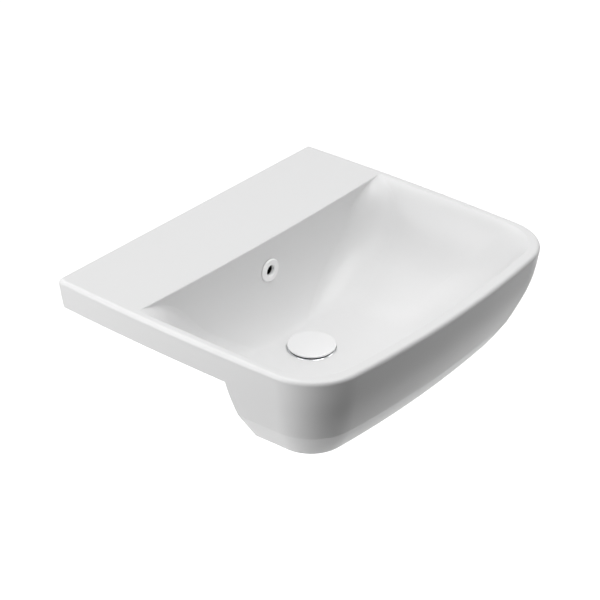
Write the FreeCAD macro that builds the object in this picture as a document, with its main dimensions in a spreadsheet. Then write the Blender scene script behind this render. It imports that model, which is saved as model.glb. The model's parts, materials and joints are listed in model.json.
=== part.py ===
import FreeCAD, Part
import math
import os

import Sketcher

# Semi recessed basin with its push waste.
# Frame: the origin is where the wall plane, the worktop level and the centre line meet.
# +Y points into the wall, the basin's front looks along -Y, and +Z is up.
# The deck's top lies one skirt height above the worktop level.

Vector = FreeCAD.Vector
doc = FreeCAD.newDocument("semi_recessed_basin")
sheet = doc.addObject("Spreadsheet::Sheet", "Sizes")


class Size:
    """A length that carries its number and the sheet formula behind it."""

    def __init__(self, number, formula):
        self.number = number
        self.formula = formula

    def __add__(self, other):
        other = as_size(other)
        return Size(self.number + other.number, f"({self.formula} + {other.formula})")

    def __sub__(self, other):
        other = as_size(other)
        return Size(self.number - other.number, f"({self.formula} - {other.formula})")

    def __mul__(self, factor):
        return Size(self.number * factor, f"({self.formula} * {factor})")

    __rmul__ = __mul__

    def __truediv__(self, divisor):
        return Size(self.number / divisor, f"({self.formula} / {divisor})")

    def __neg__(self):
        return Size(-self.number, f"(-1 * {self.formula})")


def as_size(value):
    """Let a plain number stand where a Size is wanted."""
    if isinstance(value, Size):
        return value
    return Size(float(value), f"({value})")


DRIVING_SIZES = {
    # the ceramic seen from above
    "basin_width": 500.0,
    "basin_depth": 434.5,
    "side_crown_distance": 165.0,
    "side_bow_radius": 4000.0,
    "front_bow_radius": 1500.0,
    "side_rim_width": 11.4,
    "front_rim_width": 15.8,
    "deck_depth": 134.5,
    "deck_bow_radius": 5570.0,
    # the ceramic seen from the side
    "skirt_height": 44.0,
    "apron_height": 150.0,
    "apron_distance": 272.0,
    "crease_depth": 102.0,
    "bowl_depth": 134.5,
    "wall_thickness": 12.0,
    "top_edge_radius": 5.0,
    "rim_edge_radius": 1.5,
    "foot_edge_radius": 4.0,
    "skirt_edge_radius": 2.0,
    # the flat of the bowl's floor about the drain
    "floor_side_room": 38.6,
    "floor_front_room": 37.0,
    "floor_back_room": 37.0,
    # the waste hole and its boss
    "drain_distance": 206.7,
    "drain_hole_radius": 22.5,
    "drain_boss_radius": 34.0,
    "drain_boss_height": 36.0,
    "flange_seat_radius": 32.7,
    "flange_seat_depth": 3.4,
    # the cast overflow duct
    "overflow_depth": 44.8,
    "overflow_hole_radius": 12.0,
    "duct_width": 36.0,
    "duct_depth": 12.0,
    "duct_room": 8.0,
    "duct_wall": 7.0,
    "duct_overlap": 4.0,
    "duct_back_slope_height": 42.0,
    "duct_back_slope_run": 26.0,
    "duct_front_slope_height": 54.0,
    "duct_front_slope_run": 32.0,
    "duct_elbow_height": 22.0,
    "duct_elbow_run": 18.0,
    "duct_end_reach": 8.0,
    "overflow_lean": 1.4,
    # the waste body and what clamps it
    "flange_radius": 32.0,
    "flange_thickness": 2.6,
    "flange_seal_thickness": 1.0,
    "waste_length": 76.0,
    "tail_radius": 20.95,
    "tail_bore_radius": 18.0,
    "window_width": 16.0,
    "window_height": 12.0,
    "bridge_height_in_tail": 8.0,
    "bridge_thickness": 6.0,
    "bridge_arm_width": 4.0,
    "flange_bevel": 1.5,
    "tail_chamfer": 1.0,
    "lower_seal_lip": 3.0,
    "lower_seal_thickness": 6.0,
    "washer_radius": 31.0,
    "washer_thickness": 1.6,
    "back_nut_flats": 56.0,
    "back_nut_height": 9.0,
    "thread_clearance": 0.05,
    "sliding_clearance": 0.06,
    # the push cartridge
    "barrel_radius": 9.0,
    "barrel_bore_radius": 7.3,
    "barrel_screw_radius": 5.0,
    "barrel_length": 42.0,
    "barrel_slot_width": 4.0,
    "barrel_slot_height": 10.0,
    "barrel_floor_thickness": 3.0,
    "bush_depth": 8.0,
    "bush_head": 1.5,
    "rod_radius": 5.6,
    "piston_thickness": 4.0,
    "rotor_thickness": 4.0,
    "rotor_tooth_height": 1.6,
    "spigot_radius": 3.0,
    "spigot_length": 4.0,
    "spring_wire_radius": 0.5,
    "spring_bore_gap": 0.8,
    "spring_end_gap": 0.1,
    "plug_lift": 9.0,
    "plug_press": 1.2,
    # the plug
    "cap_radius": 32.0,
    "cap_overhang": 1.0,
    "cap_height": 3.7,
    "cap_edge_height": 2.0,
    "cap_edge_radius": 1.0,
    "carrier_thickness": 1.6,
    "carrier_hub_radius": 14.0,
    "carrier_gap": 0.4,
    "hub_lip_radius": 1.2,
    "hub_lip_height": 1.4,
    "plug_seal_thickness": 3.5,
    "plug_seal_depth": 0.5,
    "plug_seal_gap": 0.3,
    "stud_radius": 3.95,
    "stud_hold": 8.0,
    "stud_hold_in_hub": 6.0,
    "stud_chamfer": 0.6,
    "lock_nut_flats": 13.0,
    "lock_nut_height": 4.0,
    # the overflow ring
    "ring_radius": 16.0,
    "ring_bore_radius": 7.0,
    "ring_thickness": 2.6,
    "ring_neck_length": 11.0,
    "ring_slit_width": 3.0,
    "ring_outer_bevel": 1.2,
    "ring_bore_bevel": 1.4,
    "ring_fit_gap": 0.3,
    # small cuts that take a sharp edge off, and how far a cut runs past what it cuts
    "small_chamfer": 0.5,
    "cut_past": 5.0,
}

for row, (alias, number) in enumerate(DRIVING_SIZES.items(), start=1):
    sheet.set(f"A{row}", alias)
    sheet.set(f"B{row}", str(number))
    sheet.setAlias(f"B{row}", alias)
doc.recompute()


def size(alias):
    """Read one driving size from the sheet."""
    return Size(float(sheet.get(alias)), f"Sizes.{alias}")


# ---------------------------------------------------------------- helpers

def new_body(label):
    """An empty body whose label names the sub-part."""
    body = doc.addObject("PartDesign::Body", label)
    body.Label = label
    return body


def origin_plane(body, role):
    """The body's own XY, XZ or YZ plane."""
    for feature in body.Origin.OriginFeatures:
        if feature.Role == role:
            return feature
    raise ValueError(role)


def new_sketch(body, name, role="XY_Plane", offset=None):
    """A sketch on one of the body's own planes, moved along the plane's normal by offset."""
    sketch = body.newObject("Sketcher::SketchObject", name)
    sketch.AttachmentSupport = [(origin_plane(body, role), "")]
    sketch.MapMode = "FlatFace"
    if offset is not None:
        sketch.AttachmentOffset = FreeCAD.Placement(Vector(0, 0, offset.number), FreeCAD.Rotation())
        sketch.setExpression("AttachmentOffset.Base.z", offset.formula)
    return sketch


def hold(sketch, kind, items, length):
    """Add one dimension to a sketch and bind it to the sheet."""
    index = sketch.addConstraint(Sketcher.Constraint(kind, *items, length.number))
    sketch.setExpression(f"Constraints[{index}]", length.formula)


def arc(centre, radius, start, end):
    """An arc from start to end, anticlockwise about centre."""
    first = math.atan2(start.y - centre.y, start.x - centre.x)
    last = math.atan2(end.y - centre.y, end.x - centre.x)
    while last < first:
        last += 2.0 * math.pi
    circle = Part.Circle(centre, Vector(0, 0, 1), radius)
    return Part.ArcOfCircle(circle, first, last)


def meeting(centre_a, radius_a, centre_b, radius_b, side):
    """Where two circles cross; side is +1 or -1 and picks one of the two points."""
    line = centre_b - centre_a
    gap = line.Length
    along = (radius_a ** 2 - radius_b ** 2 + gap ** 2) / (2.0 * gap)
    across = math.sqrt(radius_a ** 2 - along ** 2)
    unit = line / gap
    normal = Vector(-unit.y, unit.x, 0)
    return centre_a + unit * along + normal * (across * side)


def touch(centre, point, radius):
    """The point of a circle that lies on the line from its centre through another point."""
    direction = point - centre
    return centre + direction * (radius / direction.Length)


# ---------------------------------------------------------------- the ceramic's outlines

# The rounding of the top edge takes a little off the leaning sides, so the sharp outline is wider.
LEAN_LOSS = 0.23
edge_loss = size("top_edge_radius") * LEAN_LOSS
half_width = size("basin_width") / 2 + edge_loss
full_depth = size("basin_depth") + edge_loss
crown_y = -size("side_crown_distance")
bow_side = size("side_bow_radius")
bow_front = size("front_bow_radius")
deck_top = size("skirt_height")


def outer_outline(body, name, depth, side_inset, front_inset, corner, back_y):
    """One level of the ceramic's outside or of its hollow: straight back, bowed sides and front."""
    sketch = new_sketch(body, name, offset=deck_top - depth)
    side_x = half_width - side_inset - bow_side
    front_y = -full_depth + front_inset + bow_front
    side_centre = Vector(side_x.number, crown_y.number, 0)
    front_centre = Vector(0, front_y.number, 0)
    corner_centre = meeting(side_centre, bow_side.number - corner.number,
                            front_centre, bow_front.number - corner.number, -1)
    rise = back_y.number - crown_y.number
    back = Vector(side_x.number + math.sqrt(bow_side.number ** 2 - rise ** 2), back_y.number, 0)
    side_end = touch(side_centre, corner_centre, bow_side.number)
    front_end = touch(front_centre, corner_centre, bow_front.number)

    def mirror(point):
        return Vector(-point.x, point.y, 0)

    sketch.addGeometry([
        Part.LineSegment(back, mirror(back)),
        arc(mirror(side_centre), bow_side.number, mirror(back), mirror(side_end)),
        arc(mirror(corner_centre), corner.number, mirror(side_end), mirror(front_end)),
        arc(front_centre, bow_front.number, mirror(front_end), front_end),
        arc(corner_centre, corner.number, front_end, side_end),
        arc(side_centre, bow_side.number, side_end, back),
    ], False)
    joints = [Sketcher.Constraint("Coincident", 0, 2, 1, 1)]
    joints += [Sketcher.Constraint("Tangent", at, 2, at + 1, 1) for at in (1, 2, 3, 4)]
    joints += [Sketcher.Constraint("Coincident", 5, 2, 0, 1),
               Sketcher.Constraint("Horizontal", 0),
               Sketcher.Constraint("PointOnObject", 3, 3, -2),
               Sketcher.Constraint("Equal", 1, 5),
               Sketcher.Constraint("Equal", 2, 4)]
    sketch.addConstraint(joints)
    hold(sketch, "Radius", (5,), bow_side)
    hold(sketch, "Radius", (4,), corner)
    hold(sketch, "Radius", (3,), bow_front)
    hold(sketch, "DistanceX", (-1, 1, 5, 3), side_x)
    hold(sketch, "DistanceY", (-1, 1, 5, 3), crown_y)
    hold(sketch, "DistanceX", (-1, 1, 1, 3), -side_x)
    hold(sketch, "DistanceY", (-1, 1, 1, 3), crown_y)
    hold(sketch, "DistanceY", (-1, 1, 3, 3), front_y)
    hold(sketch, "DistanceY", (-1, 1, 0, 1), back_y)
    return sketch


def bowl_outline(body, name, level):
    """One level of the bowl: eight tangent arcs, the back one bowed into the bowl."""
    sketch = new_sketch(body, name, offset=deck_top - level["depth"])
    bow_back = size("deck_bow_radius")
    side_x = level["half"] - level["side_bow"]
    front_y = -level["front"] + level["front_bow"]
    back_y = -level["back"] + bow_back
    corner = level["corner"]
    back_corner = level["back_corner"]
    crown = -level["crown"]
    side_centre = Vector(side_x.number, crown.number, 0)
    front_centre = Vector(0, front_y.number, 0)
    back_centre = Vector(0, back_y.number, 0)
    side_radius = level["side_bow"].number
    front_radius = level["front_bow"].number
    corner_centre = meeting(side_centre, side_radius - corner.number,
                            front_centre, front_radius - corner.number, -1)
    inner_centre = meeting(side_centre, side_radius - back_corner.number,
                           back_centre, bow_back.number + back_corner.number, -1)
    side_end = touch(side_centre, corner_centre, side_radius)
    front_end = touch(front_centre, corner_centre, front_radius)
    side_start = touch(side_centre, inner_centre, side_radius)
    back_end = touch(back_centre, inner_centre, bow_back.number)

    def mirror(point):
        return Vector(-point.x, point.y, 0)

    sketch.addGeometry([
        arc(back_centre, bow_back.number, mirror(back_end), back_end),
        arc(mirror(inner_centre), back_corner.number, mirror(back_end), mirror(side_start)),
        arc(mirror(side_centre), side_radius, mirror(side_start), mirror(side_end)),
        arc(mirror(corner_centre), corner.number, mirror(side_end), mirror(front_end)),
        arc(front_centre, front_radius, mirror(front_end), front_end),
        arc(corner_centre, corner.number, front_end, side_end),
        arc(side_centre, side_radius, side_end, side_start),
        arc(inner_centre, back_corner.number, side_start, back_end),
    ], False)
    joints = [Sketcher.Constraint("Tangent", at, 2, at + 1, 1) for at in range(1, 7)]
    joints += [Sketcher.Constraint("Tangent", 7, 2, 0, 2),
               Sketcher.Constraint("Tangent", 0, 1, 1, 1),
               Sketcher.Constraint("PointOnObject", 0, 3, -2),
               Sketcher.Constraint("PointOnObject", 4, 3, -2),
               Sketcher.Constraint("Equal", 1, 7),
               Sketcher.Constraint("Equal", 2, 6),
               Sketcher.Constraint("Equal", 3, 5)]
    sketch.addConstraint(joints)
    hold(sketch, "Radius", (0,), bow_back)
    hold(sketch, "Radius", (4,), level["front_bow"])
    hold(sketch, "Radius", (5,), corner)
    hold(sketch, "Radius", (6,), level["side_bow"])
    hold(sketch, "Radius", (7,), back_corner)
    hold(sketch, "DistanceX", (-1, 1, 6, 3), side_x)
    hold(sketch, "DistanceY", (-1, 1, 6, 3), crown)
    hold(sketch, "DistanceX", (-1, 1, 2, 3), -side_x)
    hold(sketch, "DistanceY", (-1, 1, 2, 3), crown)
    hold(sketch, "DistanceY", (-1, 1, 4, 3), front_y)
    hold(sketch, "DistanceY", (-1, 1, 0, 3), back_y)
    return sketch


def loft(body, kind, name, sections):
    """A smooth loft through the sections, adding to the body or cutting from it."""
    feature = body.newObject(f"PartDesign::{kind}", name)
    feature.Profile = sections[0]
    feature.Sections = sections[1:]
    feature.Ruled = False
    feature.Refine = False
    return feature


def rectangle(body, name, half_x, low_y, high_y, offset):
    """A rectangle about the centre line, from low_y to high_y."""
    sketch = new_sketch(body, name, offset=offset)
    left = -half_x.number
    right = half_x.number
    corners = [Vector(left, low_y.number, 0), Vector(right, low_y.number, 0),
               Vector(right, high_y.number, 0), Vector(left, high_y.number, 0)]
    for at in range(4):
        sketch.addGeometry(Part.LineSegment(corners[at], corners[(at + 1) % 4]), False)
    sketch.addConstraint([Sketcher.Constraint("Coincident", at, 2, (at + 1) % 4, 1) for at in range(4)])
    sketch.addConstraint([Sketcher.Constraint("Horizontal", 0), Sketcher.Constraint("Horizontal", 2),
                          Sketcher.Constraint("Vertical", 1), Sketcher.Constraint("Vertical", 3)])
    hold(sketch, "DistanceX", (-1, 1, 1, 1), half_x)
    hold(sketch, "DistanceX", (-1, 1, 0, 1), -half_x)
    hold(sketch, "DistanceY", (-1, 1, 0, 1), low_y)
    hold(sketch, "DistanceY", (-1, 1, 2, 1), high_y)
    return sketch


def pocket(body, sketch, name, length, upwards=False):
    """Cut the sketch's outline away, downwards unless told otherwise."""
    feature = body.newObject("PartDesign::Pocket", name)
    feature.Profile = sketch
    feature.Length = length.number
    feature.setExpression("Length", length.formula)
    feature.Reversed = upwards
    feature.Refine = False
    return feature


def pad(body, sketch, name, length, downwards=False):
    """Raise the sketch's outline into a solid."""
    feature = body.newObject("PartDesign::Pad", name)
    feature.Profile = sketch
    feature.Length = length.number
    feature.setExpression("Length", length.formula)
    feature.Reversed = downwards
    feature.Refine = False
    return feature


def circle(body, name, radius, offset, centre_y=None, role="XY_Plane"):
    """A circle on the body's own plane, centred on the origin or moved along the plane's Y."""
    sketch = new_sketch(body, name, role, offset)
    place = as_size(0) if centre_y is None else centre_y
    sketch.addGeometry(Part.Circle(Vector(0, place.number, 0), Vector(0, 0, 1), radius.number), False)
    if centre_y is None:
        sketch.addConstraint(Sketcher.Constraint("Coincident", 0, 3, -1, 1))
    else:
        sketch.addConstraint(Sketcher.Constraint("PointOnObject", 0, 3, -2))
        hold(sketch, "DistanceY", (-1, 1, 0, 3), centre_y)
    hold(sketch, "Radius", (0,), radius)
    return sketch


def polygon(body, name, points, role="XZ_Plane", offset=None):
    """A closed outline of straight lines, each corner held by its two distances."""
    sketch = new_sketch(body, name, role, offset)
    corners = [Vector(across.number, up.number, 0) for across, up in points]
    total = len(corners)
    for at in range(total):
        sketch.addGeometry(Part.LineSegment(corners[at], corners[(at + 1) % total]), False)
    sketch.addConstraint([Sketcher.Constraint("Coincident", at, 2, (at + 1) % total, 1)
                          for at in range(total)])
    for at, (across, up) in enumerate(points):
        hold(sketch, "DistanceX", (-1, 1, at, 1), across)
        hold(sketch, "DistanceY", (-1, 1, at, 1), up)
    return sketch


def turned(body, name, points):
    """Turn an outline of (radius, height) corners about the body's Z axis."""
    sketch = polygon(body, f"{name}_outline", points)
    feature = body.newObject("PartDesign::Revolution", name)
    feature.Profile = sketch
    feature.ReferenceAxis = (sketch, ["V_Axis"])
    feature.Angle = 360.0
    feature.Refine = False
    return feature


def hexagon(body, name, across_flats, offset):
    """A regular hexagon about the origin."""
    sketch = new_sketch(body, name, offset=offset)
    reach = across_flats.number / math.sqrt(3.0)
    corners = [Vector(reach * math.cos(math.radians(60.0 * turn)),
                      reach * math.sin(math.radians(60.0 * turn)), 0) for turn in range(6)]
    for at in range(6):
        sketch.addGeometry(Part.LineSegment(corners[at], corners[(at + 1) % 6]), False)
    sketch.addGeometry(Part.Circle(Vector(0, 0, 0), Vector(0, 0, 1), reach), True)
    rules = [Sketcher.Constraint("Coincident", at, 2, (at + 1) % 6, 1) for at in range(6)]
    rules += [Sketcher.Constraint("PointOnObject", at, 1, 6) for at in range(6)]
    rules += [Sketcher.Constraint("Equal", 0, at) for at in range(1, 6)]
    rules += [Sketcher.Constraint("Coincident", 6, 3, -1, 1),
              Sketcher.Constraint("PointOnObject", 0, 1, -1)]
    sketch.addConstraint(rules)
    hold(sketch, "Radius", (6,), across_flats / math.sqrt(3.0))
    return sketch


def place(body, drain_side=False, turn_about_x=0.0, along_y=None, up=None):
    """Put a finished body where it belongs, bound to the sheet."""
    y = as_size(0) if along_y is None else along_y
    z = as_size(0) if up is None else up
    turn = FreeCAD.Rotation(Vector(1, 0, 0), turn_about_x)
    body.Placement = FreeCAD.Placement(Vector(0, y.number, z.number), turn)
    body.setExpression("Placement.Base.y", y.formula)
    body.setExpression("Placement.Base.z", z.formula)


def around(body, name, feature, sketch, count):
    """Repeat a feature about the sketch's normal."""
    pattern = body.newObject("PartDesign::PolarPattern", name)
    pattern.Originals = [feature]
    pattern.Axis = (sketch, ["N_Axis"])
    pattern.Angle = 360.0
    pattern.Occurrences = count
    pattern.Refine = False
    body.Tip = pattern
    return pattern


def round_edges(body, name, radius, pick):
    """Round the edges that pick chooses from the body so far."""
    doc.recompute()
    base = body.Tip
    chosen = pick(base.Shape)
    names = [f"Edge{at}" for at, edge in enumerate(base.Shape.Edges, start=1)
             if any(edge.isSame(other) for other in chosen)]
    feature = body.newObject("PartDesign::Fillet", name)
    feature.Base = (base, names)
    feature.Radius = radius.number
    feature.setExpression("Radius", radius.formula)
    feature.Refine = False
    doc.recompute()
    print(name, len(names), "edges", feature.State)
    return feature


# ---------------------------------------------------------------- the ceramic

basin = new_body("basin_body")
wall = size("wall_thickness")
floor = deck_top - size("bowl_depth")
drain_y = -size("drain_distance")
apron_y = -size("apron_distance")

# Each level of the apron: depth below the deck, inset of the sides and the front, corner radius.
# The sides break into a steeper slope at the crease; the front runs on smoothly.
crease = size("crease_depth").number
apron_foot = size("apron_height").number
UPPER_LEVELS = [
    (0.0, 0.0, 0.0, 75.0),
    (22.0, 3.3, 3.3, 73.0),
    (44.0, 7.6, 7.6, 71.0),
    (60.0, 12.6, 12.6, 69.0),
    (80.0, 20.4, 20.4, 67.0),
    (crease, 30.2, 30.2, 64.0),
]
LOWER_LEVELS = [
    (crease, 30.2, 30.2, 64.0),
    (118.0, 41.2, 40.0, 59.5),
    (134.0, 52.4, 51.0, 54.0),
    (apron_foot, 63.8, 64.0, 47.0),
]


def apron_at(depth):
    """The insets and corner radius of the apron at any depth, between the two nearest levels."""
    levels = UPPER_LEVELS + LOWER_LEVELS[1:]
    for above, below in zip(levels, levels[1:]):
        if depth <= below[0]:
            break
    share = (depth - above[0]) / (below[0] - above[0])
    return [first + (last - first) * share for first, last in zip(above[1:], below[1:])]


def apron_sections(name, levels, back_y, inwards):
    """One outline for each level, moved inwards all round by a wall for the hollow."""
    return [outer_outline(basin, f"{name}_level_{count}", as_size(depth), as_size(side) + inwards,
                          as_size(front) + inwards, as_size(corner) - inwards, back_y)
            for count, (depth, side, front, corner) in enumerate(levels)]


none = as_size(0)
loft(basin, "AdditiveLoft", "apron_upper", apron_sections("upper", UPPER_LEVELS, wall, none))
loft(basin, "AdditiveLoft", "apron_lower", apron_sections("lower", LOWER_LEVELS, wall, none))

# The back is cut flat in the wall's plane, and the underside behind the apron at worktop level.
room = wall * 2
behind_wall = rectangle(basin, "wall_plane_outline", half_width + room, none, room, deck_top + room)
pocket(basin, behind_wall, "wall_plane", size("apron_height") + room * 2)
behind = rectangle(basin, "worktop_recess_outline", half_width + room, apron_y, room, none)
pocket(basin, behind, "worktop_recess", size("apron_height"))

# The deck, the skirt and the apron are one wall thick, open below and at the cabinet.
HOLLOW_DEPTHS = [wall.number, 44.0, 80.0, crease, 118.0, apron_foot - wall.number]
hollow_levels = [(depth, *apron_at(depth)) for depth in HOLLOW_DEPTHS]
loft(basin, "SubtractiveLoft", "hollow", apron_sections("hollow", hollow_levels, -wall, wall))

# Each level of the bowl, in shares of the way from the rim to the floor's flat: depth, side,
# front and back. Then the bows of the sides and the front, and the front and back corners.
rim_half = size("basin_width") / 2 - size("side_rim_width")
rim_front = size("basin_depth") - size("front_rim_width")
BOWL_LEVELS = [
    (0.00, 0.000, 0.000, 0.000, 4000.0, 1500.0, 64.0, 3.0),
    (0.21, 0.103, 0.084, 0.017, 1500.0, 1200.0, 70.0, 46.0),
    (0.49, 0.223, 0.193, 0.051, 1200.0, 900.0, 80.0, 54.0),
    (0.74, 0.413, 0.347, 0.199, 700.0, 600.0, 84.0, 54.0),
    (0.90, 0.583, 0.541, 0.455, 400.0, 400.0, 74.0, 50.0),
    (0.98, 0.753, 0.758, 0.745, 250.0, 250.0, 56.0, 38.0),
    (1.00, 1.000, 1.000, 1.000, 120.0, 120.0, 30.0, 30.0),
]
# Where the sides are widest: at the rim as the outside is, lower down towards the drain.
BOWL_CROWNS = [0.0, 28.3, 28.3, 28.3, 23.3, 15.3, 0.3]


def bowl_levels(thickness, at_rim):
    """The bowl's levels, moved outwards near the rim and downwards near the floor."""
    levels = []
    for table, crown_ahead in zip(BOWL_LEVELS, BOWL_CROWNS):
        share, side, front, back, side_bow, front_bow, corner, back_corner = table
        out = thickness * math.sqrt(1.0 - share * share)
        drop = thickness * share
        crown = size("drain_distance") + crown_ahead
        if share == 0.0:
            out = at_rim
            drop = at_rim / 2
            crown = size("side_crown_distance")
        floor_front = size("drain_distance") + size("floor_front_room")
        floor_back = size("drain_distance") - size("floor_back_room")
        levels.append({
            "depth": size("bowl_depth") * share + drop,
            "half": rim_half * (1.0 - side) + size("floor_side_room") * side + out,
            "side_bow": as_size(side_bow) + out,
            "crown": crown,
            "front": rim_front * (1.0 - front) + floor_front * front + out,
            "front_bow": as_size(front_bow) + out,
            "corner": as_size(corner) + out,
            "back": size("deck_depth") * (1.0 - back) + floor_back * back - out,
            "back_corner": as_size(back_corner) + out,
        })
    return levels


# The bowl's wall is thinner at the rim, where the sides lean out over it.
RIM_WALL_SHARE = 0.65
shell_sections = [bowl_outline(basin, f"shell_level_{count}", level)
                  for count, level in enumerate(bowl_levels(wall, wall * RIM_WALL_SHARE))]
loft(basin, "AdditiveLoft", "bowl_shell", shell_sections)

boss = circle(basin, "drain_boss_outline", size("drain_boss_radius"), floor, drain_y)
pad(basin, boss, "drain_boss", size("drain_boss_height"), downwards=True)

# The overflow duct: a cast box behind the bowl that turns forward under the floor to the boss.
duct_half = size("duct_width") / 2
duct_wall = size("duct_wall")
shell_back = -size("deck_depth") + wall
duct_back = shell_back + size("duct_depth")
duct_top = deck_top - wall
duct_foot = floor - size("drain_boss_height") + duct_wall
duct_end = drain_y + size("duct_end_reach")
slope_level = duct_foot + size("duct_back_slope_height")
case_reach = as_size(2)
case_shoulder = as_size(50)
duct_case = polygon(basin, "duct_case_outline", [
    (shell_back - size("duct_overlap"), duct_top),
    (duct_back + duct_wall, duct_top),
    (duct_back + duct_wall, slope_level),
    (duct_back - size("duct_back_slope_run") - case_reach, duct_foot - duct_wall),
    (duct_end + case_reach, duct_foot - duct_wall),
    (duct_end + case_reach, floor + case_reach),
    (shell_back - wall, floor + case_shoulder),
], role="YZ_Plane")
case = pad(basin, duct_case, "duct_case", duct_half * 2 + duct_wall * 2)
case.Midplane = True

bowl_sections = [bowl_outline(basin, f"bowl_level_{count}", level)
                 for count, level in enumerate(bowl_levels(as_size(0), as_size(0)))]
loft(basin, "SubtractiveLoft", "bowl_cavity", bowl_sections)

duct_room = size("duct_room")
duct = polygon(basin, "duct_outline", [
    (shell_back, duct_top - duct_wall),
    (duct_back, duct_top - duct_wall),
    (duct_back, slope_level),
    (duct_back - size("duct_back_slope_run"), duct_foot),
    (duct_end, duct_foot),
    (duct_end, duct_foot + duct_room),
    (shell_back - size("duct_front_slope_run"), duct_foot + duct_room),
    (shell_back - size("duct_elbow_run"), duct_foot + duct_room + size("duct_elbow_height")),
    (shell_back, duct_foot + duct_room + size("duct_front_slope_height")),
], role="YZ_Plane")
duct_cut = pocket(basin, duct, "duct", duct_half * 2)
duct_cut.Midplane = True

overflow_z = deck_top - size("overflow_depth")
overflow_face = size("deck_depth") + size("overflow_lean")
hole = circle(basin, "overflow_hole_outline", size("overflow_hole_radius"),
              size("deck_depth") - wall - size("duct_overlap"), overflow_z, role="XZ_Plane")
pocket(basin, hole, "overflow_hole", wall * 2, upwards=True)

cut_past = size("cut_past")
seat_level = floor - size("flange_seat_depth")
seat = circle(basin, "flange_seat_outline", size("flange_seat_radius"), seat_level, drain_y)
pocket(basin, seat, "flange_seat", cut_past * 2, upwards=True)
drain = circle(basin, "drain_hole_outline", size("drain_hole_radius"), floor, drain_y)
pocket(basin, drain, "drain_hole", size("drain_boss_height") + cut_past)


def deck_face(shape):
    """The large flat face on top of the deck and the rim."""
    flat = [face for face in shape.Faces
            if all(abs(corner.Z - deck_top.number) < 0.01 for corner in face.Vertexes)]
    return max(flat, key=lambda face: face.Area)


def rim_outside(shape):
    """The deck's outer edge at the sides and the front."""
    return [edge for edge in deck_face(shape).OuterWire.Edges if edge.CenterOfMass.y < -1]


def rim_inside(shape):
    """The bowl's edge at the deck and the rim."""
    face = deck_face(shape)
    return [edge for wire in face.Wires if not wire.isSame(face.OuterWire) for edge in wire.Edges]


def skirt_edges(shape):
    """The lower outer edges of the skirt at the sides, between the wall and the apron."""
    return [edge for edge in shape.Edges
            if all(abs(end.Z) < 0.01 and abs(end.X) > half_width.number - wall.number
                   for end in edge.Vertexes)
            and edge.Length > deck_top.number and abs(edge.CenterOfMass.y) > wall.number]


def foot_edges(shape):
    """The lower outer edges of the apron at the sides and the front."""
    foot = deck_top.number - apron_foot
    return [edge for edge in shape.Edges
            if all(abs(end.Z - foot) < 0.01 for end in edge.Vertexes)
            and edge.CenterOfMass.y < apron_y.number - 1]


round_edges(basin, "foot_rounding", size("foot_edge_radius"), foot_edges)
round_edges(basin, "outer_top_rounding", size("top_edge_radius"), rim_outside)
round_edges(basin, "inner_top_rounding", size("rim_edge_radius"), rim_inside)
round_edges(basin, "skirt_rounding", size("skirt_edge_radius"), skirt_edges)


# ---------------------------------------------------------------- the waste

# Heights of the waste, all from the bowl's floor.
seal_foot = floor - size("flange_seat_depth")
flange_foot = seal_foot + size("flange_seal_thickness")
flange_top = flange_foot + size("flange_thickness")
tail_foot = flange_top - size("waste_length")
boss_foot = floor - size("drain_boss_height")
tube = size("tail_radius")
bore = size("tail_bore_radius")
slack = size("thread_clearance")
slip = size("sliding_clearance")
flange = size("flange_radius")
bridge_foot = tail_foot + size("bridge_height_in_tail")
bridge_top = bridge_foot + size("bridge_thickness")
barrel = size("barrel_radius")
barrel_bore = size("barrel_bore_radius")
screw = size("barrel_screw_radius")
barrel_foot = bridge_top
barrel_floor = barrel_foot + size("barrel_floor_thickness")
chamfer = size("small_chamfer")
barrel_top = barrel_foot + size("barrel_length")

waste = new_body("waste_body")
tail_chamfer = size("tail_chamfer")
mouth_chamfer = tail_chamfer * 2
turned(waste, "waste_tube", [
    (bore + mouth_chamfer, flange_top),
    (flange - size("flange_bevel"), flange_top),
    (flange, flange_top - tail_chamfer),
    (flange, flange_foot),
    (tube, flange_foot),
    (tube, tail_foot + tail_chamfer),
    (tube - tail_chamfer, tail_foot),
    (bore, tail_foot),
    (bore, flange_top - mouth_chamfer),
])
window = polygon(waste, "window_outline", [
    (-size("window_width") / 2, duct_foot),
    (size("window_width") / 2, duct_foot),
    (size("window_width") / 2, duct_foot + size("window_height")),
    (-size("window_width") / 2, duct_foot + size("window_height")),
])
window_cut = pocket(waste, window, "window", tube + cut_past)
around(waste, "windows", window_cut, circle(waste, "window_axis", tube, tail_foot), 4)
arm_end = bore + tail_chamfer
arm = polygon(waste, "bridge_arm_outline", [
    (none, bridge_foot),
    (arm_end, bridge_foot),
    (arm_end, bridge_top),
    (none, bridge_top),
])
arm_pad = pad(waste, arm, "bridge_arm", size("bridge_arm_width"))
arm_pad.Midplane = True
around(waste, "bridge_arms", arm_pad, circle(waste, "bridge_axis", bore, bridge_foot), 3)
hub = circle(waste, "bridge_hub_outline", barrel, bridge_foot)
pad(waste, hub, "bridge_hub", bridge_top - bridge_foot)
hub_bore = circle(waste, "bridge_thread_outline", screw + slack, bridge_top)
pocket(waste, hub_bore, "bridge_thread", bridge_top - bridge_foot)

flange_seal = new_body("flange_seal")
seal_edge = flange - 0.6
turned(flange_seal, "flange_seal_ring", [
    (tube + slack, seal_foot),
    (seal_edge, seal_foot),
    (seal_edge, flange_foot),
    (tube + slack, flange_foot),
])

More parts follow.
